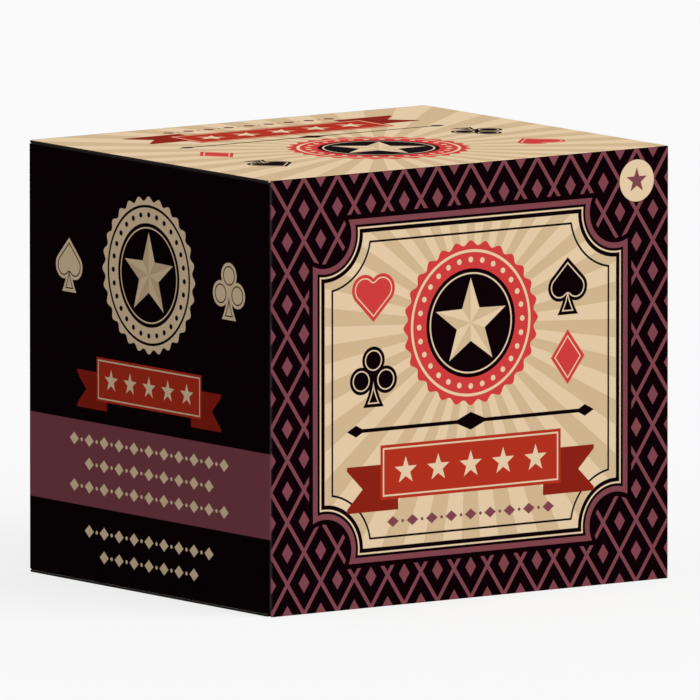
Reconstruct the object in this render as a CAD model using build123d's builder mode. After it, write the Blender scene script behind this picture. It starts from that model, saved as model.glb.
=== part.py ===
from build123d import *
from math import copysign, cos, radians, sin, tan
import os

# A magic trick in its printed folding carton, in millimetres. The carton's front faces -Y, its left side
# faces -X, and it stands on z = 0 with the origin under its middle. One sheet of paperboard folds into four
# walls and, at each end, a lid with a tuck flap over two dust flaps. Inside, a folded insert holds a
# plastic box whose liner can travel from the base up into the lid.

# Carton: driving dimensions
carton_width = 115.0  # left to right
carton_depth = 97.0  # front to back
carton_height = 102.0
board = 0.5  # thickness of the paperboard
fold_radius = 0.8  # outside radius of the upright folds
crease_gap = 0.03  # between a crease's bead and the flap that turns about it
flap_gap = 0.1  # between two flaps that lie one on the other
lid_side_inset = 0.15  # each end of a lid, inside the carton's sides
lid_corner_radius = 0.4
tuck_length = 16.0
tuck_side_inset = 0.8  # each end of a tuck flap, inside the side walls
tuck_corner_radius = 9.0
tuck_fold = 60.0  # degrees that the tuck flap folds in while its lid opens
lid_swing = 180.0  # degrees that a lid opens
tuck_gap = 0.15  # left between the tuck flap and the front wall where they come closest
dust_length = 42.0
dust_mitre = 35.0  # degrees: slope of the edge beside the lid's crease
dust_taper = 5.0  # degrees: slope of the front edge
dust_front_inset = 3.0  # from the front wall, where the tuck flap passes
dust_back_inset = 1.0  # from the glue flap
dust_corner_radius = 4.0
glue_width = 13.0
glue_bevel = 15.0  # degrees: slope of the glue flap's two ends

# Insert and leaflet: driving dimensions
insert_board = 0.5
insert_height = 34.0  # from the insert's feet to the top of its deck
insert_gap = 0.5  # all round, to the carton
insert_fold_radius = 0.45
window_gap = 0.6  # between the deck's window and the plastic box
leg_corner_gap = 0.4  # where two legs meet at an upright edge
seat_gap = 0.1  # under each thing that rests on another
leaflet_width = 96.0
leaflet_depth = 78.0
leaflet_thickness = 0.5  # folded
leaflet_slit = 0.1  # between its two leaves
leaf_lap = 6.0  # where the upper leaf stops short of the lower one

# Plastic trick box: driving dimensions
trick_size = 64.0  # square, outside
trick_corner_radius = 8.0
trick_wall = 2.2
floor_thickness = 2.0
base_height = 40.0  # to the parting line
lip_height = 3.0
lip_thickness = 1.0
lip_gap = 0.15  # between the base's lip and the lid's skirt
foot_radius = 1.2  # round the base's lower edge
crown_radius = 1.5  # round the lid's upper edge
liner_height = 27.0
liner_wall = 1.2
liner_gap = 0.25  # between the liner and the walls it slides along
liner_recess = 0.5  # the liner's rim, below the lip
liner_headroom = 1.0  # above the liner when it is up in the lid
liner_foot_radius = 0.8
ledge_width = 1.6
lid_roof = 2.0

# Handle: driving dimensions
handle_radius = 11.0  # outside of the arch
handle_thickness = 3.2
handle_width = 7.0
handle_edge_radius = 1.0
peg_length = 1.6
peg_inset = 0.6  # the peg, inside the handle's foot
peg_gap = 0.05

# Carton: places worked out from the sizes
left = -carton_width / 2
right = carton_width / 2
front = -carton_depth / 2
back = carton_depth / 2
seam = back - board  # outer face of the glue flap, against the back wall
half_board = board / 2
flap_start = half_board + crease_gap  # from a crease's axis to its flap
lid_axis = half_board  # depth of a lid's crease below its end of the carton
dust_axis = board + flap_gap + half_board  # depth of a dust flap's crease
wall_low = dust_axis
wall_high = carton_height - dust_axis
wall_share = 2 * fold_radius  # how far a corner's bisector is followed inwards
mid_height = Plane.XY.offset(carton_height / 2)

# While its lid turns, the tuck flap swings out before it rises clear. The deepest swing needs this clearance.
tuck_lag = 1 - tuck_fold / lid_swing
tuck_clearance = (tuck_length * tuck_lag) ** 2 / (2 * carton_depth) + tuck_gap
tuck_axis = front + board + tuck_clearance + half_board
tuck_back = tuck_axis + half_board
tuck_width = carton_width - 2 * (board + tuck_side_inset)
tuck_bevel = half_board * (1 + sin(radians(tuck_fold))) / cos(radians(tuck_fold))

# Insert, leaflet and trick box: places worked out from the sizes
floor_level = dust_axis + half_board  # upper face of the lower dust flaps
insert_low = floor_level + seat_gap
insert_top = insert_low + insert_height
insert_width = carton_width - 2 * (board + insert_gap)
insert_front = tuck_back + insert_gap
insert_back = seam - board - insert_gap
insert_depth = insert_back - insert_front
insert_middle = (insert_front + insert_back) / 2
leg_height = insert_height - insert_board
leaflet_low = floor_level + seat_gap
trick_low = leaflet_low + leaflet_thickness + seat_gap
parting = trick_low + base_height
lip_top = parting + lip_height
liner_size = trick_size - 2 * (trick_wall + liner_gap)
liner_corner_radius = trick_corner_radius - trick_wall - liner_gap
liner_top = lip_top - liner_recess
liner_low = liner_top - liner_height
ledge_top = liner_low - seat_gap
roof_low = lip_top + liner_height + liner_headroom
trick_top = roof_low + lid_roof
peg_width = handle_width - 2 * peg_inset
peg_thickness = handle_thickness - 2 * peg_inset
peg_offset = handle_radius - handle_thickness / 2


def sleeve_ring(rear):
    """Adds the plan section of a folded sleeve, from the carton's front to the plane y = rear."""
    with Locations((0, (front + rear) / 2)):
        RectangleRounded(carton_width, rear - front, fold_radius)
        RectangleRounded(
            carton_width - 2 * board, rear - front - 2 * board, fold_radius - board, mode=Mode.SUBTRACT
        )


def keep_share(start, end):
    """Keeps one wall's share of the sleeve, between the bisectors of its two corners."""
    inner = [(x - copysign(wall_share, x), y - copysign(wall_share, y)) for x, y in (end, start)]
    with BuildLine() as share:
        Polyline(start, end, *inner, close=True)
    make_face(share.edges(), mode=Mode.INTERSECT)


def crease_bead(start, end):
    """Adds the rounded edge that a flap turns about, from one point of its axis to the other."""
    run = Vector(*end) - Vector(*start)
    with BuildSketch(Plane(origin=start, z_dir=run)) as section:
        Circle(half_board)
    extrude(section.sketch, amount=run.length)


def mirrored(piece, plane):
    """Makes the piece that is another one's mirror image."""
    with BuildPart() as image:
        mirror(piece.part, about=plane)
    return image


os.makedirs("parts", exist_ok=True)


def save(piece, name):
    """Labels a finished piece and writes it as one node."""
    piece.part.label = name
    export_step(piece.part, f"parts/{name}.step")


# Front panel: the only wall that reaches both ends, as raw edges in front of the lids' tuck flaps
with BuildPart() as front_panel:
    with BuildSketch():
        sleeve_ring(back)
        keep_share((left, front), (right, front))
    extrude(amount=carton_height)
save(front_panel, "front_panel")

# Left side panel: a crease for a dust flap at each end
with BuildPart() as left_side_panel:
    with BuildSketch(Plane.XY.offset(wall_low)):
        sleeve_ring(back)
        keep_share((left, front), (left, back))
    extrude(amount=wall_high - wall_low)
    for level in (wall_low, wall_high):
        crease_bead(
            (left + half_board, front + fold_radius, level), (left + half_board, back - fold_radius, level)
        )
save(left_side_panel, "left_side_panel")

# Right side panel: the same, but its rear fold turns into the glue flap, inside the back panel
with BuildPart() as right_side_panel:
    with BuildSketch(Plane.XY.offset(wall_low)):
        sleeve_ring(seam)
        keep_share((right, front), (right, seam))
    extrude(amount=wall_high - wall_low)
    for level in (wall_low, wall_high):
        crease_bead(
            (right - half_board, front + fold_radius, level), (right - half_board, seam - fold_radius, level)
        )
save(right_side_panel, "right_side_panel")

# Glue flap: the sheet's last strip, bevelled at both ends
with BuildPart() as glue_flap:
    with BuildSketch(Plane.XY.offset(wall_low)):
        sleeve_ring(seam)
        keep_share((left, seam), (right, seam))
    extrude(amount=wall_high - wall_low)
    with BuildSketch(Plane.XZ.offset(-seam)):
        rise = glue_width * tan(radians(glue_bevel))
        with BuildLine():
            Polyline(
                (right, wall_low),
                (right - glue_width, wall_low + rise),
                (right - glue_width, wall_high - rise),
                (right, wall_high),
                close=True,
            )
        make_face()
    extrude(amount=wall_share, mode=Mode.INTERSECT)
save(glue_flap, "glue_flap")

# Back panel: a raw edge at the seam, and a crown with the lid's crease at each end
with BuildPart() as back_panel:
    with BuildSketch(Plane.XY.offset(wall_low)):
        sleeve_ring(back)
        keep_share((left, back), (right, back))
        with Locations((right, back)):
            Rectangle(wall_share, wall_share, align=Align.MAX, mode=Mode.SUBTRACT)
            Rectangle(wall_share, board, align=Align.MAX)
    extrude(amount=wall_high - wall_low)
    with BuildSketch(Plane.XY.offset(lid_axis)):
        with Locations((0, back - half_board)):
            Rectangle(carton_width - 2 * fold_radius, board)
    extrude(amount=carton_height - 2 * lid_axis)
    for level in (lid_axis, carton_height - lid_axis):
        crease_bead(
            (left + fold_radius, back - half_board, level), (right - fold_radius, back - half_board, level)
        )
save(back_panel, "back_panel")

# Top lid panel: lies on the side walls' creases, with the tuck flap's crease along its front edge
with BuildPart() as top_lid_panel:
    with BuildSketch(Plane.XY.offset(carton_height - board)):
        lid_back = back - half_board - flap_start
        with Locations((0, (tuck_axis + lid_back) / 2)):
            Rectangle(carton_width - 2 * lid_side_inset, lid_back - tuck_axis)
    extrude(amount=board)
    fillet(top_lid_panel.edges().filter_by(Axis.Z).group_by(Axis.Y)[0], lid_corner_radius)
    crease_level = carton_height - lid_axis
    crease_bead((-tuck_width / 2, tuck_axis, crease_level), (tuck_width / 2, tuck_axis, crease_level))
save(top_lid_panel, "top_lid_panel")
save(mirrored(top_lid_panel, mid_height), "bottom_panel")

# Top tuck flap: its edge at the crease is bevelled inside, so that it can fold towards the lid
with BuildPart() as top_tuck_flap:
    with BuildSketch(Plane.YZ.offset(-tuck_width / 2)):
        with BuildLine():
            Polyline(
                (tuck_axis - half_board, crease_level - flap_start),
                (tuck_back, crease_level - tuck_bevel - crease_gap),
                (tuck_back, carton_height - tuck_length),
                (tuck_axis - half_board, carton_height - tuck_length),
                close=True,
            )
        make_face()
    extrude(amount=tuck_width)
    fillet(top_tuck_flap.edges().filter_by(Axis.Y).group_by(Axis.Z)[0], tuck_corner_radius)
save(top_tuck_flap, "top_tuck_flap")
save(mirrored(top_tuck_flap, mid_height), "bottom_tuck_flap")

# Top left dust flap: mitred beside the lid's crease, so that the opening lid stays ahead of it
with BuildPart() as top_left_dust_flap:
    with BuildSketch(Plane.XY.offset(carton_height - dust_axis - half_board)):
        dust_start = left + half_board + flap_start
        dust_end = left + dust_length
        dust_front = front + board + dust_front_inset
        dust_back = seam - board - dust_back_inset
        dust_run = dust_end - dust_start
        with BuildLine():
            Polyline(
                (dust_start, dust_front),
                (dust_end, dust_front + dust_run * tan(radians(dust_taper))),
                (dust_end, dust_back - dust_run * tan(radians(dust_mitre))),
                (dust_start, dust_back),
                close=True,
            )
        make_face()
    extrude(amount=board)
    fillet(top_left_dust_flap.edges().filter_by(Axis.Z).group_by(Axis.X)[-1], dust_corner_radius)
top_right_dust_flap = mirrored(top_left_dust_flap, Plane.YZ)
save(top_left_dust_flap, "top_left_dust_flap")
save(top_right_dust_flap, "top_right_dust_flap")
save(mirrored(top_left_dust_flap, mid_height), "bottom_left_dust_flap")
save(mirrored(top_right_dust_flap, mid_height), "bottom_right_dust_flap")

# Insert deck: a plate with rounded folds, and a window round the plastic box
with BuildPart() as insert_deck:
    with BuildSketch(Plane.XY.offset(insert_top - insert_board)):
        with Locations((0, insert_middle)):
            Rectangle(insert_width, insert_depth)
            window_size = trick_size + 2 * window_gap
            RectangleRounded(window_size, window_size, trick_corner_radius + window_gap, mode=Mode.SUBTRACT)
    extrude(amount=insert_board)
    outer_edges = insert_deck.faces().sort_by(Axis.Z)[-1].outer_wire().edges()
    fillet(outer_edges, insert_fold_radius)
save(insert_deck, "insert_deck")

# Insert front and back legs: hang from the deck's folds to the carton's floor
for name, outside in (("front", insert_front), ("back", insert_back - insert_board)):
    with BuildPart() as leg:
        with BuildSketch(Plane.XY.offset(insert_low)):
            with Locations((0, outside)):
                Rectangle(insert_width, insert_board, align=(Align.CENTER, Align.MIN))
        extrude(amount=leg_height)
    save(leg, f"insert_{name}_leg")

# Insert side legs: stand between the front and back ones
with BuildPart() as insert_left_leg:
    with BuildSketch(Plane.XY.offset(insert_low)):
        with Locations((-insert_width / 2, insert_middle)):
            side_leg_width = insert_depth - 2 * (insert_board + leg_corner_gap)
            Rectangle(insert_board, side_leg_width, align=(Align.MIN, Align.CENTER))
    extrude(amount=leg_height)
save(insert_left_leg, "insert_left_leg")
save(mirrored(insert_left_leg, Plane.YZ), "insert_right_leg")

# Instruction leaflet: a sheet folded once, lying under the plastic box, with its fold on the left
with BuildPart() as instruction_leaflet:
    with BuildSketch(Plane.XZ.offset(-insert_middle)):
        half_leaflet = leaflet_thickness / 2
        leaflet_middle = leaflet_low + half_leaflet
        leaf_width = leaflet_width - half_leaflet
        with Locations((half_leaflet - leaflet_width / 2, leaflet_middle)):
            Circle(half_leaflet)
            Rectangle(leaf_width, leaflet_thickness, align=(Align.MIN, Align.CENTER))
            Rectangle(leaf_width, leaflet_slit, align=(Align.MIN, Align.CENTER), mode=Mode.SUBTRACT)
        with Locations((leaflet_width / 2, leaflet_middle)):
            Rectangle(leaf_lap, leaflet_thickness, align=(Align.MAX, Align.MIN), mode=Mode.SUBTRACT)
    extrude(amount=leaflet_depth / 2, both=True)
save(instruction_leaflet, "instruction_leaflet")


def square_tube(low, high, size, radius, mode=Mode.ADD):
    """Adds or cuts an upright square with rounded corners, round the plastic box's axis."""
    with BuildSketch(Plane((0, insert_middle, low))) as section:
        RectangleRounded(size, size, radius)
    extrude(section.sketch, amount=high - low, mode=mode)


# Trick base: a square box with a step for the liner, and a thin lip that the lid goes over
with BuildPart() as trick_base:
    inner_size = trick_size - 2 * trick_wall
    inner_radius = trick_corner_radius - trick_wall
    lip_inset = trick_wall - lip_thickness
    square_tube(trick_low, parting, trick_size, trick_corner_radius)
    fillet(trick_base.faces().sort_by(Axis.Z)[0].edges(), foot_radius)
    square_tube(parting, lip_top, trick_size - 2 * lip_inset, trick_corner_radius - lip_inset)
    square_tube(ledge_top, lip_top, inner_size, inner_radius, mode=Mode.SUBTRACT)
    square_tube(
        trick_low + floor_thickness,
        ledge_top,
        inner_size - 2 * ledge_width,
        inner_radius - ledge_width,
        mode=Mode.SUBTRACT,
    )
save(trick_base, "trick_base")

# Trick liner: a tray that stands on the base's step and can travel up into the lid
with BuildPart() as trick_liner:
    square_tube(liner_low, liner_top, liner_size, liner_corner_radius)
    fillet(trick_liner.faces().sort_by(Axis.Z)[0].edges(), liner_foot_radius)
    square_tube(
        liner_low + liner_wall,
        liner_top,
        liner_size - 2 * liner_wall,
        liner_corner_radius - liner_wall,
        mode=Mode.SUBTRACT,
    )
save(trick_liner, "trick_liner")

# Trick lid: a deep cap as wide as the base, its skirt thinned inside to go over the lip
with BuildPart() as trick_lid:
    skirt_size = trick_size - 2 * (lip_inset - lip_gap)
    skirt_radius = trick_corner_radius - lip_inset + lip_gap
    square_tube(parting, trick_top, trick_size, trick_corner_radius)
    fillet(trick_lid.faces().sort_by(Axis.Z)[-1].edges(), crown_radius)
    square_tube(parting, lip_top + lip_gap, skirt_size, skirt_radius, mode=Mode.SUBTRACT)
    square_tube(lip_top, roof_low, inner_size, inner_radius, mode=Mode.SUBTRACT)
    with BuildSketch(Plane((0, insert_middle, trick_top))):
        with Locations((-peg_offset, 0), (peg_offset, 0)):
            Rectangle(peg_thickness + 2 * peg_gap, peg_width + 2 * peg_gap)
    extrude(amount=-peg_length - peg_gap, mode=Mode.SUBTRACT)
save(trick_lid, "trick_lid")

# Lid handle: an upright loop that stands on the lid, with a peg under each foot
with BuildPart() as lid_handle:
    with BuildSketch(Plane((0, insert_middle, trick_top), x_dir=(1, 0, 0), z_dir=(0, -1, 0))):
        Circle(handle_radius)
        Circle(handle_radius - handle_thickness, mode=Mode.SUBTRACT)
        Rectangle(2 * handle_radius, handle_radius, align=(Align.CENTER, Align.MAX), mode=Mode.SUBTRACT)
    extrude(amount=handle_width / 2, both=True)
    fillet(lid_handle.edges().filter_by(GeomType.CIRCLE), handle_edge_radius)
    with BuildSketch(Plane((0, insert_middle, trick_top))):
        with Locations((-peg_offset, 0), (peg_offset, 0)):
            Rectangle(peg_thickness, peg_width)
    extrude(amount=-peg_length)
save(lid_handle, "lid_handle")

# The creases' axes and the room for what moves inside
handle_top = trick_top + handle_radius
lift_room = carton_height - floor_level - handle_top
print(f"lid creases at y {back - half_board:.3f}, {lid_axis:.2f} inside each end of the carton")
print(f"tuck creases at y {tuck_axis:.3f}, {tuck_clearance:.2f} clear of the front panel")
print(f"dust flap creases at x {right - half_board:.2f}, {dust_axis:.2f} inside each end")
print(f"trick box from z {trick_low:.2f} to {handle_top:.2f}, on the axis y {insert_middle:.3f}")
print(f"its lid can lift {lift_room:.2f} inside the closed carton")
print(f"liner from z {liner_low:.2f} to {liner_top:.2f}, free to rise {roof_low - liner_top:.2f}")
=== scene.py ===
# %% [markdown]
# # A magic trick in its printed carton
# The object is a folding carton with a square plastic trick box inside. Its solids come from the packed
# model: four walls, two lids with tuck flaps, dust flaps, an insert, a leaflet and the trick box. What is
# left for Blender is what the eye sees: the printing, the paperboard, the plastic, and the light on them.
# Everything is in metres, and the carton's front faces -Y.

# %% Load the frame
from math import cos, hypot, pi, radians, sin, sqrt

import bpy
import numpy as np
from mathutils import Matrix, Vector


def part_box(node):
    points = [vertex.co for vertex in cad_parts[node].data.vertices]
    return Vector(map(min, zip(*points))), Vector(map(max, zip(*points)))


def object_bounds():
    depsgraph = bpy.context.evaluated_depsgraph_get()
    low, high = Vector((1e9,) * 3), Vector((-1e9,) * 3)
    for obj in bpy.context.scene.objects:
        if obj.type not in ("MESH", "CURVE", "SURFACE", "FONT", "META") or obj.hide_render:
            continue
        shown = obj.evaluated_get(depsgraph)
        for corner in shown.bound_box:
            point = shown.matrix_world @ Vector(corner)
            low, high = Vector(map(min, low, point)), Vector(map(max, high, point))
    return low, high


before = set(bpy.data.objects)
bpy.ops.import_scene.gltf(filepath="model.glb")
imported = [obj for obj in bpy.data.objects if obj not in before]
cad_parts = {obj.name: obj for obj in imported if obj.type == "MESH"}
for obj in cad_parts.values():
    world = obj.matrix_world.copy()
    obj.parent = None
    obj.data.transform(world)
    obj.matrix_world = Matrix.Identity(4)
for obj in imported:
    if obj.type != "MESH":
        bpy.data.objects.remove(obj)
solid_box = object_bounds()
MM = 0.001
carton = (solid_box[1] - solid_box[0]) / MM  # its width, depth and height in millimetres
middle = (solid_box[0] + solid_box[1]) / 2
print("carton", [round(side, 2) for side in carton], "mm, nodes", len(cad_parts))

# %% [markdown]
# ## Camera
# The photograph shows upright edges of equal length and parallel folds, so it was made with almost no
# perspective. An orthographic camera would do the same, but its frame couldn't widen when the flaps open.
# A very long lens from seven metres away gives nearly the same picture, and it can step back.
# The frame is 163.9 mm wide at the carton, and the carton's middle sits a little low and left in it.

# %% Place the camera
VIEW_TURN = radians(-35.93)
VIEW_RISE = radians(7.41)
FRAME_WIDTH = 163.92 * MM
MIDDLE_LEFT = 0.33 * MM
MIDDLE_DOWN = 2.09 * MM
lens = bpy.data.cameras.new("long_lens")
lens.sensor_width = 36
lens.lens = 1600
lens.clip_end = 30
towards = Vector((sin(VIEW_TURN) * cos(VIEW_RISE), -cos(VIEW_TURN) * cos(VIEW_RISE), sin(VIEW_RISE)))
rightwards = Vector((cos(VIEW_TURN), sin(VIEW_TURN), 0))
upwards = towards.cross(rightwards)
distance = FRAME_WIDTH * lens.lens / lens.sensor_width
camera = bpy.data.objects.new("camera", lens)
camera.location = middle + rightwards * MIDDLE_LEFT + upwards * MIDDLE_DOWN + towards * distance
camera.rotation_mode = "QUATERNION"
camera.rotation_quaternion = (-towards).to_track_quat("-Z", "Y")
bpy.context.scene.collection.objects.link(camera)
bpy.context.scene.camera = camera
bpy.context.scene.view_settings.view_transform = "Standard"
print("camera stands", round(distance, 3), "m away")

# %% [markdown]
# ## Shader maths
# A print is easier to read as formulas than as a picture of nodes. So one small class stands for a number
# that varies over a surface, and arithmetic on it adds Math nodes. A second class holds a tree of nodes,
# and its node method makes every other node: settings first, then the sockets. A third is a tree that
# belongs to a material, with a surface that can be printed on.

# %% Values that can be reckoned with


class Value:
    """A socket whose number varies over a surface. Arithmetic on it adds Math nodes."""

    def __init__(self, tree, socket):
        self.tree = tree
        self.socket = socket

    def __add__(self, other):
        return self.tree.maths("ADD", self, other)

    __radd__ = __add__

    def __sub__(self, other):
        return self.tree.maths("SUBTRACT", self, other)

    def __rsub__(self, other):
        return self.tree.maths("SUBTRACT", other, self)

    def __mul__(self, other):
        return self.tree.maths("MULTIPLY", self, other)

    __rmul__ = __mul__

    def __truediv__(self, other):
        return self.tree.maths("DIVIDE", self, other)

    def __neg__(self):
        return self * -1

    def __abs__(self):
        return self.tree.maths("ABSOLUTE", self)


# %% Trees of nodes


class Tree:
    """The nodes of a material, or of the light all round."""

    def __init__(self, node_tree):
        self.node_tree = node_tree
        node_tree.nodes.clear()

    def node(self, kind, sockets=None, settings=None, output=0):
        """Makes a node of any type: its settings first, then each socket's value or link."""
        made = self.node_tree.nodes.new(kind)
        for name, setting in (settings or {}).items():
            setattr(made, name, setting)
        for name, value in (sockets or {}).items():
            socket = made.inputs[name]
            if isinstance(value, Value):
                self.node_tree.links.new(value.socket, socket)
            elif socket.type == "RGBA":
                socket.default_value = (*value[:3], 1)
            else:
                socket.default_value = value
        return Value(self, made.outputs[output]) if made.outputs else made

    def maths(self, operation, *operands, clamp=False):
        settings = {"operation": operation, "use_clamp": clamp}
        return self.node("ShaderNodeMath", dict(enumerate(operands)), settings)

    def vector(self, operation, *operands, scale=None):
        sockets = dict(enumerate(operands))
        if scale is not None:
            sockets["Scale"] = scale
        output = "Value" if operation == "DISTANCE" else "Vector"
        return self.node("ShaderNodeVectorMath", sockets, {"operation": operation}, output)

    def parts(self, vector):
        """The three numbers of a vector."""
        split = self.node("ShaderNodeSeparateXYZ", {0: vector}).socket.node
        return [Value(self, output) for output in split.outputs]

    def least(self, one, other):
        return self.maths("MINIMUM", one, other)

    def most(self, one, other):
        return self.maths("MAXIMUM", one, other)

    def share(self, value, zero, one):
        """0 where a value is at zero or beyond, 1 where it is at one, and a straight run between."""
        slope = 1 / (one - zero)
        return self.maths("MULTIPLY_ADD", value, slope, -zero * slope, clamp=True)

    def mixed(self, first, second, amount):
        """One colour turning into another as the amount goes from 0 to 1."""
        sockets = {0: amount, 6: first, 7: second}
        return self.node("ShaderNodeMix", sockets, {"data_type": "RGBA"}, output=2)


# %% Materials that are built up in layers


class Finish(Tree):
    """A material. Its colour starts as one ink, and shapes are laid over it one by one."""

    EDGE = 0.12  # mm over which a printed edge fades

    def __init__(self, name, ink):
        self.material = bpy.data.materials.new(name)
        self.material.use_nodes = True
        super().__init__(self.material.node_tree)
        place = self.node("ShaderNodeTexCoord", output="Object")
        self.millimetres = self.vector("SCALE", place, scale=1 / MM)
        self.x, self.y, self.z = self.parts(self.millimetres)
        facing = self.node("ShaderNodeTexCoord", output="Normal")
        self.facing_x, self.facing_y, self.facing_z = self.parts(facing)
        self.colour = ink

    def lay(self, shape, ink, amount=1):
        """Prints an ink where a shape's distance is below zero, over what is there."""
        cover = self.share(shape, self.EDGE / 2, -self.EDGE / 2)
        if amount != 1:
            cover = cover * amount
        self.colour = self.mixed(self.colour, ink, cover)

    def noise(self, grain, detail=2.0, stretch=(1, 1, 1)):
        """Cloudy noise from 0 to 1, with a grain in millimetres, finer along an axis that is stretched."""
        where = self.vector("MULTIPLY", self.millimetres, tuple(s / grain for s in stretch))
        return self.node("ShaderNodeTexNoise", {"Vector": where, "Scale": 1, "Detail": detail})

    def flecks(self):
        """Specks a little under a millimetre wide, 1 inside them: the peaks of a smooth noise."""
        return self.share(self.noise(grain=0.9, detail=0), zero=0.7, one=0.78)

    def surface(self, **sockets):
        """Ends the material with a Principled shader. A socket's spaces are written as underscores."""
        names = {name.replace("_", " "): value for name, value in sockets.items()}
        shader = self.node("ShaderNodeBsdfPrincipled", {"Base Color": self.colour, **names})
        self.node("ShaderNodeOutputMaterial", {"Surface": shader})
        print(self.material.name, "has", len(self.node_tree.nodes), "nodes")
        return self.material


# %% Colours


def srgb(red, green, blue):
    """A colour of a picture, 0 to 255, as light."""
    shares = (red / 255, green / 255, blue / 255)
    return tuple(s / 12.92 if s < 0.04 else ((s + 0.055) / 1.055) ** 2.4 for s in shares)


print("a middle grey as light", round(srgb(128, 128, 128)[0], 3))

# %% [markdown]
# ## Light
# A product is shown in a pale, even room. One very wide lamp stands in front and to the right, so that the
# front and the top show their full colours and the left side falls to rather less than half. Its power and
# direction are worked out from wishes, as shares of full light: how much the sky gives everywhere, and
# how much the lamp adds on the front, on the top and on the right. The floor is pale to the eye, but
# throws back little light, so the left side stays dark.

# %% Light the room
SKY = 0.7
LAMP_ON_FRONT = 0.55
LAMP_ON_TOP = 0.3
LAMP_ON_RIGHT = 0.35
BACKGROUND = srgb(250, 250, 250)
from_lamp = Vector((LAMP_ON_RIGHT, -LAMP_ON_FRONT, LAMP_ON_TOP))
lamp = bpy.data.lights.new("wide_lamp", "SUN")
lamp.angle = radians(55)
lamp.energy = from_lamp.length * pi
lamp_object = bpy.data.objects.new("wide_lamp", lamp)
lamp_object.rotation_mode = "QUATERNION"
lamp_object.rotation_quaternion = (-from_lamp).to_track_quat("-Z", "Y")
bpy.context.scene.collection.objects.link(lamp_object)


def seen_directly(tree):
    """1 for what the camera sees, also in a gloss or through glass, and 0 for light on things."""
    rays = ("Is Camera Ray", "Is Glossy Ray", "Is Transmission Ray")
    eye, gloss, glass = (tree.node("ShaderNodeLightPath", output=ray) for ray in rays)
    return tree.most(eye, tree.most(gloss, glass))


sky = bpy.data.worlds.new("pale_room")
bpy.context.scene.world = sky
sky.use_nodes = True
room = Tree(sky.node_tree)
room_colour = room.mixed((SKY,) * 3, BACKGROUND, seen_directly(room))
room_glow = room.node("ShaderNodeBackground", {"Color": room_colour})
room.node("ShaderNodeOutputWorld", {"Surface": room_glow})
print("lamp strength", round(lamp.energy, 3))

# %% [markdown]
# ## Floor
# The carton stands on a plain pale surface without an edge in view. It is one flat grid of four points. To
# the eye its colour is the background's, most of it as its own glow, so that the carton's shadow is faint.

# %% Lay the floor
FLOOR_REACH = 4.0
FLOOR_GAP = 0.02 * MM  # under the carton: two faces in one plane would show as stripes from below
FLOOR_RETURN = 0.2  # how much light it throws back onto the carton
SHADOW_KEPT = 0.2


def flat_grid(reach, height):
    """Four points: x and y run from -reach to reach, and z is the height."""
    across, along = np.meshgrid([-reach, reach], [-reach, reach])
    points = np.stack([across.ravel(), along.ravel(), np.full(4, height)], axis=1)
    return points.tolist(), [(0, 1, 3, 2)]


floor_mesh = bpy.data.meshes.new("floor")
floor_points, floor_faces = flat_grid(FLOOR_REACH, -FLOOR_GAP)
floor_mesh.from_pydata(floor_points, [], floor_faces)
floor = bpy.data.objects.new("floor", floor_mesh)
bpy.context.scene.collection.objects.link(floor)

floor_finish = Finish("pale_floor", BACKGROUND)
seen = seen_directly(floor_finish)
floor_colour = floor_finish.mixed((FLOOR_RETURN,) * 3, BACKGROUND, seen)
matt = floor_finish.node("ShaderNodeBsdfDiffuse", {"Color": floor_colour})
glow = floor_finish.node("ShaderNodeEmission", {"Color": BACKGROUND})
both = floor_finish.node("ShaderNodeMixShader", {0: seen * (1 - SHADOW_KEPT), 1: matt, 2: glow})
floor_finish.node("ShaderNodeOutputMaterial", {"Surface": both})
floor_mesh.materials.append(floor_finish.material)
print("floor reaches", FLOOR_REACH, "m")

# %% [markdown]
# ## Inks
# The carton is printed in a few flat colours, as old posters were. Their values are what the eye sees on
# the lit front. The board's faces are pale where nothing is printed, and its core is a dark grey.

# %% Mix the inks
BLACK = srgb(13, 2, 6)
BURGUNDY = srgb(126, 68, 76)
TAN = srgb(228, 202, 166)
DARK_TAN = srgb(209, 182, 144)
CORAL = srgb(206, 61, 61)
RED = srgb(177, 49, 32)
DEEP_RED = srgb(138, 34, 22)
BARE_BOARD = srgb(226, 221, 210)
BOARD_CORE = srgb(54, 49, 45)
print("the black ink throws back", [round(part, 4) for part in BLACK])

# %% [markdown]
# ## Printed shapes
# Each shape is a formula for the distance to its outline in millimetres, below zero inside. A distance
# gives more than a filled shape: its outline at any width, a line inside it or a border around it. A page
# says where a point lies on a printed face, and can be moved, folded down its middle, or repeated.

# %% Pages


class Page:
    """Where each point lies on a printed face: millimetres across and up from the page's own zero."""

    def __init__(self, finish, across, up):
        self.finish = finish
        self.across = across
        self.up = up
        self.radius = None
        self.turn = None

    def moved(self, across=0, up=0):
        """The page whose zero lies there on this one."""
        new_across = self.across - across if across else self.across
        new_up = self.up - up if up else self.up
        return Page(self.finish, new_across, new_up)

    def folded(self):
        """Folds the page down its middle, so that what is drawn on the right is also on the left."""
        return Page(self.finish, abs(self.across), self.up)

    def repeated(self, pitch):
        """Repeats a strip of the page from left to right, with a strip's middle at zero."""
        across = self.finish.maths("WRAP", self.across, pitch / 2, -pitch / 2)
        return Page(self.finish, across, self.up)

    def reach(self, across=0, up=0):
        """Distance from a point of the page."""
        point = self.finish.node("ShaderNodeCombineXYZ", {0: self.across, 1: self.up})
        return self.finish.vector("DISTANCE", point, (across, up, 0))

    def polar(self):
        """Distance from zero, and the angle from the upward direction."""
        if self.radius is None:
            self.radius = self.reach()
            self.turn = self.finish.maths("ARCTAN2", self.across, self.up)
        return self.radius, self.turn


# %% Plain shapes


def disc(page, radius):
    """Distance from zero, less the radius."""
    return page.polar()[0] - radius


def block(page, half_width, half_height):
    """The larger of the distances beyond the sides and beyond the ends."""
    return page.finish.most(abs(page.across) - half_width, abs(page.up) - half_height)


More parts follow.
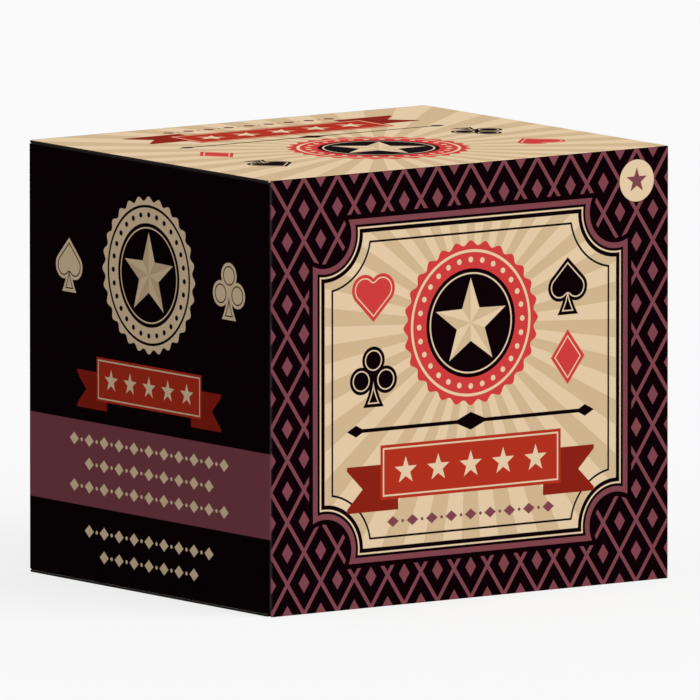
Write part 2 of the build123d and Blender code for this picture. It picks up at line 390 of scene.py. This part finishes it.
def lozenge(page, half_width, half_height):
    """Across and up, each as a share of its half, add up to 1 on the outline."""
    slant = 1 / hypot(1 / half_width, 1 / half_height)
    return abs(page.across) * (slant / half_width) + abs(page.up) * (slant / half_height) - slant


def line_along(shape, width, offset=0):
    """A line of a width that follows a shape's outline at an offset, outwards if it is positive."""
    return abs(shape - offset) - width / 2


def ticket(page, half_width, half_height, bite):
    """A block, less a disc at each corner."""
    quarter = Page(page.finish, abs(page.across), abs(page.up))
    sides = page.finish.most(quarter.across - half_width, quarter.up - half_height)
    return page.finish.most(sides, bite - quarter.reach(half_width, half_height))


# %% Shapes round a middle


def star(page, radius, waist=0.4, points=5):
    """Folds the page into one half of one point, where the outline is a straight line."""
    reach, turn = page.polar()
    beam = page.finish.maths("PINGPONG", turn, pi / points)
    along = reach * page.finish.maths("COSINE", beam)
    aside = reach * page.finish.maths("SINE", beam)
    notch_along = waist * radius * cos(pi / points)
    notch_aside = waist * radius * sin(pi / points)
    run = hypot(radius - notch_along, notch_aside)
    slope_along = notch_aside / run
    slope_aside = (radius - notch_along) / run
    return along * slope_along + aside * slope_aside - radius * slope_along


def rays(page, pairs):
    """Below zero in every other ray: a wave of the angle, times the arc between two rays."""
    reach, turn = page.polar()
    wave = page.finish.maths("PINGPONG", turn * (pairs / pi), 1) - 0.5
    return wave * reach * (pi / pairs)


def scalloped(page, radius, depth, lobes):
    """A disc whose radius rises and falls with a cosine of the angle."""
    reach, turn = page.polar()
    return reach - page.finish.maths("COSINE", turn * lobes) * depth - radius


def dotted_ring(page, radius, dots, dot_radius):
    """Folds the angle to half a dot's share, and takes the distance from the dot's middle."""
    reach, turn = page.polar()
    aside = page.finish.maths("PINGPONG", turn, pi / dots) * radius
    return Page(page.finish, aside, reach - radius).reach() - dot_radius


# %% [markdown]
# ## Card suits
# The four suits are set out with rule and compasses, as a sign painter would. A heart is a square on its
# corner with a disc on each upper side. A spade is a heart upside down on a flared foot, and a club is
# three discs on the same foot. The distance inside a heart is exact, because a fine line follows it.

# %% Suits


def heart(page, size):
    """A square on its corner joined to discs on its upper sides. It is 3.4 sizes wide.

    On the outer side of the line from the cleft to a side corner, the distance is the disc's. On the
    inner side it is that of the square's lower side or of the cleft, whichever is nearer.
    """
    half = page.folded()
    corner = size * sqrt(0.5)
    lobe = half.reach(corner, corner) - size
    lower_side = (half.across - half.up) * sqrt(0.5) - size
    body = page.finish.most(lower_side, -half.reach(0, 2 * corner))
    in_body = page.finish.maths("LESS_THAN", half.across + half.up, 2 * corner)
    return lobe + in_body * (body - lobe)


def foot(half, size):
    """A stem that widens with the square of the depth below the suit's middle, on a folded page."""
    top = 0.25 * size
    bottom = -2.1 * size
    half_width = half.up * half.up * (0.145 / size) + 0.19 * size
    ends = abs(half.up - (top + bottom) / 2) - (top - bottom) / 2
    return half.finish.most(half.across - half_width, ends)


def spade(page, size):
    """A heart upside down, set a little higher, joined to a foot."""
    half = page.folded()
    raised = Page(page.finish, half.across, 0.35 * size - half.up)
    return page.finish.least(heart(raised, 0.92 * size), foot(half, size))


def club(page, size):
    """Three discs joined to a foot."""
    half = page.folded()
    from_leaf = page.finish.least(half.reach(0, 0.95 * size), half.reach(0.98 * size, -0.35 * size))
    return page.finish.least(from_leaf - 0.9 * size, foot(half, size))


def diamond(page, size):
    """A lozenge about as large as the other suits."""
    return lozenge(page, 1.35 * size, 1.8 * size)


def lay_suit(page, suit, size, ink, line_ink):
    """Prints a suit with a fine line inside its outline."""
    shape = suit(page, size)
    page.finish.lay(shape, ink)
    page.finish.lay(line_along(shape, width=0.3, offset=-0.264 * size), line_ink)


# %% [markdown]
# ## Ornaments
# Bigger pieces of the print are put together from the shapes: a round seal with a star, a ribbon with
# folded tails, a lattice of lozenges as on a harlequin's coat, and chains of small lozenges. All of them
# are old stock of printers and sign painters. Each takes its proportions from its own size.

# %% Seal and ribbon


def lay_seal(page, radius, ground, marks):
    """A scalloped seal with a dotted rim, and on its dark heart a star whose points are half in shade."""
    finish = page.finish
    finish.lay(scalloped(page, radius, depth=0.03 * radius, lobes=28), ground)
    finish.lay(line_along(disc(page, 0.9 * radius), width=0.035 * radius), marks)
    finish.lay(dotted_ring(page, 0.79 * radius, dots=28, dot_radius=0.035 * radius), marks)
    finish.lay(disc(page, 0.68 * radius), BLACK)
    finish.lay(line_along(disc(page, 0.62 * radius), width=0.02 * radius), TAN)
    five = star(page, 0.56 * radius)
    finish.lay(five, TAN)
    reach, turn = page.polar()
    shaded_half = finish.maths("SINE", turn * 5) * reach * 0.2
    finish.lay(finish.most(five, shaded_half), DARK_TAN)


def lay_ribbon(page, half_width, half_height):
    """A red banner with a darker tail behind each end, a fine line inside and a row of five stars."""
    finish = page.finish
    tail = page.folded().moved(half_width + 0.35 * half_height, -0.55 * half_height)
    notch = tail.across - 0.45 * half_height - abs(tail.up)
    finish.lay(finish.most(block(tail, 1.15 * half_height, 0.85 * half_height), notch), DEEP_RED)
    banner = block(page, half_width, half_height)
    finish.lay(banner, RED)
    finish.lay(line_along(banner, width=0.06 * half_height, offset=-0.14 * half_height), TAN)
    ends = abs(page.across) - 0.9 * half_width
    stars = star(page.repeated(0.36 * half_width), 0.52 * half_height)
    finish.lay(finish.most(stars, ends), TAN)


# %% Chains, rules and frames
LATTICE_COLUMNS = 12  # lozenges across a panel
LATTICE_ROWS = 7
LATTICE_GAP = 4.5  # mm that a frame leaves free round the shape in it


def lay_chain(page, lozenges, pitch, half_height, ink):
    """A row of an odd number of lozenges, with a dot between each two."""
    finish = page.finish
    ends = abs(page.across) - lozenges * pitch / 2
    finish.lay(finish.most(lozenge(page.repeated(pitch), 0.3 * pitch, half_height), ends), ink)
    between = page.moved(across=pitch / 2).repeated(pitch)
    finish.lay(finish.most(disc(between, 0.3 * half_height), ends + pitch / 4), ink)


def lay_rule(page, half_length):
    """A black rule with a lozenge in its middle and at each end."""
    finish = page.finish
    finish.lay(block(page, half_length, half_height=0.45), BLACK)
    finish.lay(lozenge(page, half_width=5, half_height=2.1), BLACK)
    end = page.folded().moved(across=half_length)
    finish.lay(lozenge(end, half_width=2.6, half_height=1.4), BLACK)


def lay_frame(page, panel_height, shape):
    """A burgundy lattice with a small lozenge in each cell, and two lines along the shape in it."""
    finish = page.finish
    cell_width = carton.x / LATTICE_COLUMNS
    cell_height = panel_height / LATTICE_ROWS
    spacing = 1 / hypot(1 / cell_width, 1 / cell_height)
    across = page.across / cell_width
    up = page.up / cell_height
    rising = finish.maths("PINGPONG", across - up, 0.5)
    falling = finish.maths("PINGPONG", across + up, 0.5)
    from_line = finish.least(rising, falling) * spacing
    pattern = finish.least(from_line - 0.45, 0.34 * spacing - from_line)
    finish.lay(finish.most(pattern, LATTICE_GAP - shape), BURGUNDY)
    finish.lay(line_along(shape, width=1.3, offset=2.7), BURGUNDY)
    finish.lay(line_along(shape, width=0.4, offset=1.2), TAN)


# %% [markdown]
# ## The front and the back
# A black ground with a burgundy lattice frames a tan plaque with bitten corners, as on an old ticket. Rays
# in two tans spread from the seal. Below it a black rule and a red ribbon cross the plaque. Each ornament
# is moved to its place in millimetres over the panel's foot.

# %% Front print
MARGIN_ASIDE = 15.5  # mm from the plaque to the panel's upright edges
MARGIN_ABOVE = 14.0  # and to its upper and lower ones
RAY_PAIRS = 30


def front_print(page):
    """Prints the carton's front. The page's zero is at the foot of the panel's middle line."""
    finish = page.finish
    half_width = carton.x / 2 - MARGIN_ASIDE
    half_height = carton.z / 2 - MARGIN_ABOVE
    plaque = ticket(page.moved(up=carton.z / 2), half_width, half_height, bite=11)
    lay_frame(page, carton.z, plaque)
    finish.lay(plaque, TAN)
    seal = page.moved(up=64.6)
    finish.lay(finish.most(rays(seal, RAY_PAIRS), plaque), DARK_TAN)
    finish.lay(line_along(plaque, width=0.5, offset=-2.2), BLACK)
    lay_seal(seal, radius=18.8, ground=CORAL, marks=TAN)
    lay_four_suits(page, aside=28, high=72, low=54.5)
    lay_rule(page.moved(up=41.6), half_length=33)
    lay_ribbon(page.moved(up=31.4), half_width=26, half_height=6.4)
    lay_chain(page.moved(up=19.7), lozenges=9, pitch=5.6, half_height=1.3, ink=BURGUNDY)
    lay_corner_disc(page.moved(across=48, up=94.5))


def lay_four_suits(page, aside, high, low):
    """A suit in each corner round the seal."""
    lay_suit(page.moved(-aside, high), heart, 3.6, CORAL, TAN)
    lay_suit(page.moved(aside, high), spade, 3.6, BLACK, TAN)
    lay_suit(page.moved(-aside, low), club, 3.6, BLACK, TAN)
    lay_suit(page.moved(aside, low), diamond, 3.6, CORAL, TAN)


def lay_corner_disc(page):
    """The pale disc near the corner, with a small star."""
    page.finish.lay(disc(page, radius=4.95), TAN)
    page.finish.lay(star(page, radius=3.1), BURGUNDY)


# %% [markdown]
# ## The sides, the top and the ends
# The sides are black with a burgundy band across them, and the top is tan with rays. The top's print is
# turned round, so that it reads from behind, as on the real carton.

# %% Other prints
SIDE_CHAINS = ((33.6, 11), (28.1, 9), (22.6, 11), (12.2, 9), (6.6, 7))  # height in mm, and lozenges
BOTTOM_MARGIN = 17.5  # mm from the bottom's field to the panel's edges


def side_print(page):
    """Prints a side panel. The page's zero is at the foot of the panel's middle line."""
    lay_seal(page.moved(up=75), radius=18, ground=TAN, marks=BLACK)
    lay_suit(page.moved(across=-32, up=75), spade, 3.4, TAN, BLACK)
    lay_suit(page.moved(across=32, up=75), club, 3.4, TAN, BLACK)
    lay_ribbon(page.moved(up=48.5), half_width=21, half_height=5.2)
    band = abs(page.up - 28.1) - 10
    page.finish.lay(band, BURGUNDY)
    for height, lozenges in SIDE_CHAINS:
        lay_chain(page.moved(up=height), lozenges, pitch=6, half_height=1.5, ink=TAN)


def top_print(page):
    """Prints the lid. The page's zero is the lid's middle."""
    seal = page.moved(up=12)
    page.finish.lay(rays(seal, RAY_PAIRS), DARK_TAN)
    lay_seal(seal, radius=21, ground=CORAL, marks=TAN)
    lay_four_suits(page, aside=38, high=22, low=0)
    lay_rule(page.moved(up=-14.5), half_length=36)
    lay_ribbon(page.moved(up=-27), half_width=28, half_height=7.2)
    lay_chain(page.moved(up=-40), lozenges=9, pitch=5.8, half_height=1.5, ink=BURGUNDY)


def bottom_print(page):
    """Prints the bottom panel. The page's zero is the panel's middle."""
    half_width = carton.x / 2 - BOTTOM_MARGIN
    half_depth = carton.y / 2 - BOTTOM_MARGIN
    lay_frame(page, carton.y, ticket(page, half_width, half_depth, bite=8))


# %% [markdown]
# ## Printed board
# The board is printed outside, dark grey in its core and bare inside, with the specks of recycled paper.
# Which of these a point shows follows from the way its surface faces: the print covers the outer face and
# runs round the folds, and the cut edges show the core. Each face could get a material of its own
# instead, but then the faces would have to be picked again after each change of shape. Ink lies thinner
# on a fold, where the board was bent, so a fold is a little paler; that paler line is also a painted
# highlight on the fold.

# %% Board finish
PRINT_ROUGHNESS = 0.7
BARE_ROUGHNESS = 0.9
PRINT_SPECULAR = 0.002  # a matt varnish: black ink stays black, even seen along the lid
OUTER_FACE = (0.35, 0.45)  # how far a face looks outwards where it is bare, and where it is printed
CUT_EDGE = (0.15, 0.3)  # how far it looks along the board where it is not cut, and where it is
FOLD = (0.98, 0.8)  # how square it is to the carton's faces where it is flat, and where it is bent


def board_finish(name, ground, outward, edges, paint):
    """Makes a board's material. outward tells its outer face, and edges its cut edges, by direction."""
    finish = Finish(name, ground)
    paint(finish)
    outer = finish.share(outward(finish), *OUTER_FACE)
    cut = finish.share(edges(finish), *CUT_EDGE)
    cloud = finish.noise(grain=9.0)
    fibre = finish.noise(grain=0.5, stretch=(1, 0.35, 1))
    printed = finish.mixed(finish.colour, BLACK, 0.02 * cloud)
    upright = finish.most(abs(finish.facing_x), abs(finish.facing_y))
    squareness = finish.most(upright, abs(finish.facing_z))
    # Paler along the folds: partly ink worn thin where the board was bent, partly a painted highlight on
    # the fold's rounding.
    fold_wear_and_highlight = finish.share(squareness, *FOLD) * fibre * 0.07
    printed = finish.mixed(printed, BARE_BOARD, fold_wear_and_highlight)
    bare_tone = 0.05 * cloud + 0.1 * fibre + 0.35 * finish.flecks()
    bare = finish.mixed(BARE_BOARD, BOARD_CORE, bare_tone)
    faces = finish.mixed(bare, printed, outer)
    finish.colour = finish.mixed(faces, BOARD_CORE, cut)
    roughness = BARE_ROUGHNESS - outer * (1 - cut) * (BARE_ROUGHNESS - PRINT_ROUGHNESS)
    height = fibre * (1.2 - outer)
    bump = finish.node("ShaderNodeBump", {"Height": height, "Strength": 0.12, "Distance": 0.05 * MM})
    return finish.surface(Roughness=roughness, Normal=bump, Specular_IOR_Level=PRINT_SPECULAR)


# %% Which way the cut edges face


def side_cuts(finish):
    """The upper and lower edges, and the front panel's ends above and below the side panels."""
    outwards = finish.facing_x * finish.maths("SIGN", finish.x)
    return finish.most(abs(finish.facing_z), finish.least(outwards, finish.facing_y))


def flap_cuts(finish):
    """All edges of a tuck flap, which stands upright when the carton is closed."""
    return finish.most(abs(finish.facing_x), abs(finish.facing_z))


def dust_cuts(finish):
    """All edges of a dust flap, which lies flat when the carton is closed."""
    return finish.most(abs(finish.facing_x), abs(finish.facing_y))


# %% Walls and lids
SLANT = sqrt(0.5)  # the print also covers the bead of a crease, so its direction lies between two faces
BEAD_END = 0.65  # a bead's end faces more along the bead than this, and a fold never does
front_board = board_finish(
    "front_print",
    BLACK,
    outward=lambda f: -f.facing_y,
    edges=side_cuts,
    paint=lambda f: front_print(Page(f, f.x, f.z)),
)
back_board = board_finish(
    "back_print",
    BLACK,
    outward=lambda f: (f.facing_y + abs(f.facing_z)) * SLANT,
    edges=lambda f: abs(f.facing_x) - BEAD_END,
    paint=lambda f: front_print(Page(f, -f.x, f.z)),
)
left_board = board_finish(
    "left_print",
    BLACK,
    outward=lambda f: (abs(f.facing_z) - f.facing_x) * SLANT,
    edges=lambda f: abs(f.facing_y) - BEAD_END,
    paint=lambda f: side_print(Page(f, -f.y, f.z)),
)
right_board = board_finish(
    "right_print",
    BLACK,
    outward=lambda f: (abs(f.facing_z) + f.facing_x) * SLANT,
    edges=lambda f: abs(f.facing_y) - BEAD_END,
    paint=lambda f: side_print(Page(f, f.y, f.z)),
)
lid_board = board_finish(
    "top_print",
    TAN,
    outward=lambda f: (f.facing_z - f.facing_y) * SLANT,
    edges=lambda f: abs(f.facing_x),
    paint=lambda f: top_print(Page(f, -f.x, -f.y)),
)
bottom_board = board_finish(
    "bottom_print",
    BLACK,
    outward=lambda f: (f.facing_z + f.facing_y) * -SLANT,
    edges=lambda f: abs(f.facing_x),
    paint=lambda f: bottom_print(Page(f, f.x, f.y)),
)

# %% [markdown]
# ## Flaps
# What the flaps show comes from how a carton is cut from its sheet. The top's rays run on over the crease
# onto the tuck flap. The dust flaps stay white but for a strip of the side's black, and there the printer
# checks the press, with a patch of each ink and a mark for its register. The glue flap is bare.

# %% Tuck flaps and glue flap


def tuck_paint(finish):
    """The lid's rays go on over its crease: the page is the lid's, laid out flat."""
    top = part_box("top_lid_panel")[1].z / MM
    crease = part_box("top_lid_panel")[0].y / MM
    page = Page(finish, -finish.x, (top - finish.z) - crease)
    finish.lay(rays(page.moved(up=12), RAY_PAIRS), DARK_TAN)


def unprinted(finish):
    """Leaves the ground as it is."""


tuck_board = board_finish("tuck_print", TAN, lambda f: -f.facing_y, flap_cuts, tuck_paint)
bottom_tuck_board = board_finish("bottom_tuck_print", BLACK, lambda f: -f.facing_y, flap_cuts, unprinted)
glue_board = board_finish(
    "glue_strip", BARE_BOARD, lambda f: f.facing_y, lambda f: abs(f.facing_z), unprinted
)

# %% Dust flaps
BLEED = 4.0  # mm of the side's black that runs onto a dust flap
COATED_WHITE = srgb(232, 229, 221)
PATCH_COLUMN = 22.0  # mm to the right of the carton's middle
PATCH_PITCH = 5.0
PATCH = 1.6  # half of a patch's side


def dust_paint(finish):
    """The side's black runs a little past the crease. The rest is white, with patches of each ink."""
    finish.lay(abs(finish.x) - (carton.x / 2 - BLEED), COATED_WHITE)
    column = Page(finish, finish.x - PATCH_COLUMN, finish.y)
    for place, ink in enumerate((BLACK, BURGUNDY, CORAL, RED, DARK_TAN, TAN)):
        finish.lay(block(column.moved(up=PATCH_PITCH * (place - 2.5)), PATCH, PATCH), ink)
    target = column.moved(up=PATCH_PITCH * 3.8)
    finish.lay(line_along(disc(target, radius=1.3), width=0.2), BLACK)
    cross = finish.least(abs(target.across), abs(target.up)) - 0.1
    finish.lay(finish.most(cross, block(target, half_width=2, half_height=2)), BLACK)


top_dust_board = board_finish("top_dust_print", BLACK, lambda f: f.facing_z, dust_cuts, dust_paint)
bottom_dust_board = board_finish("bottom_dust_print", BLACK, lambda f: -f.facing_z, dust_cuts, dust_paint)

# %% [markdown]
# ## Insert, leaflet and plastic
# The insert is plain white board. The leaflet is thin paper with a few grey rules where its steps are
# explained. The trick box is moulded in red plastic with a fine satin grain. All three are even in
# colour, so what makes them real is faint: clouds, fibres and specks in the paper, and a grain that
# breaks up the plastic's gloss.

# %% Bare board and paper


def bare_finish(name, colour, paint):
    """Uncoated board or paper: a cloudy tone and short fibres, and what is printed on its upper face."""
    finish = Finish(name, colour)
    paint(finish)
    printed = finish.mixed(colour, finish.colour, finish.share(finish.facing_z, zero=0.4, one=0.6))
    cloud = finish.noise(grain=7.0)
    fibre = finish.noise(grain=0.35, detail=3, stretch=(1, 0.3, 1))
    tone = 0.03 * cloud + 0.06 * fibre + 0.2 * finish.flecks()
    finish.colour = finish.mixed(printed, BOARD_CORE, tone)
    bump = finish.node("ShaderNodeBump", {"Height": fibre, "Strength": 0.15, "Distance": 0.05 * MM})
    return finish.surface(Roughness=BARE_ROUGHNESS, Normal=bump, Specular_IOR_Level=0.2)


insert_finish = bare_finish("insert_board", srgb(234, 231, 222), unprinted)

# %% Leaflet
GREY_INK = srgb(92, 88, 86)
STEP_PITCH = 29.0  # mm from one step's frame to the next
LINE_PITCH = 2.8  # mm from one grey rule to the next


def leaflet_print(finish):
    """Three framed steps that show a lidded box, a bar above them and grey rules below."""
    page = Page(finish, finish.x, finish.y)
    finish.lay(block(page.moved(up=31.5), half_width=22, half_height=1.5), GREY_INK)
    step = page.repeated(STEP_PITCH)
    step_frame = line_along(block(step.moved(up=13), 12.5, 11.5), width=0.35)
    body = line_along(block(step.moved(up=8.5), 5.5, 4), width=0.4)
    cap = line_along(block(step.moved(up=15.5), 6, 2.4), width=0.4)
    loop = finish.most(line_along(disc(step.moved(up=17.9), 1.7), width=0.4), 18.0 - step.up)
    drawing = finish.least(finish.least(step_frame, body), finish.least(cap, loop))
    three_steps = abs(page.across) - 1.5 * STEP_PITCH
    finish.lay(finish.most(drawing, three_steps), GREY_INK)
    within_line = finish.maths("WRAP", page.up, LINE_PITCH / 2, -LINE_PITCH / 2)
    paragraph = block(page.moved(up=-19.6), half_width=40, half_height=15.4)
    finish.lay(finish.most(abs(within_line) - 0.32, paragraph), GREY_INK, amount=0.7)


leaflet_finish = bare_finish("leaflet_paper", srgb(240, 238, 231), leaflet_print)

# %% Plastic


def plastic_finish(name, colour):
    """Moulded plastic: an even red with a fine grain in its gloss."""
    finish = Finish(name, colour)
    flow = finish.noise(grain=18.0)
    grain = finish.noise(grain=0.22)
    finish.colour = finish.mixed(colour, DEEP_RED, 0.15 * flow)
    bump = finish.node("ShaderNodeBump", {"Height": grain, "Strength": 0.2, "Distance": 0.02 * MM})
    return finish.surface(Roughness=0.36 + 0.08 * grain, Normal=bump, Specular_IOR_Level=0.16)


red_finish = plastic_finish("red_plastic", srgb(174, 35, 10))

# %% [markdown]
# ## Finishes on the pieces
# Each solid of the model has one slot for its material. The printed pieces and the leaflet are listed by
# name, because each has a print of its own. What is left is the insert's board and the trick box.

# %% Put the finishes on
FINISHES = {
    "front_panel": front_board,
    "back_panel": back_board,
    "left_side_panel": left_board,
    "right_side_panel": right_board,
    "glue_flap": glue_board,
    "top_lid_panel": lid_board,
    "top_tuck_flap": tuck_board,
    "top_left_dust_flap": top_dust_board,
    "top_right_dust_flap": top_dust_board,
    "bottom_panel": bottom_board,
    "bottom_tuck_flap": bottom_tuck_board,
    "bottom_left_dust_flap": bottom_dust_board,
    "bottom_right_dust_flap": bottom_dust_board,
    "instruction_leaflet": leaflet_finish,
}
for name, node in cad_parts.items():
    plain = red_finish if name.startswith(("trick", "lid_handle")) else insert_finish
    for slot in node.material_slots:
        slot.material = FINISHES.get(name, plain)
print("finishes on", len(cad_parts), "nodes")
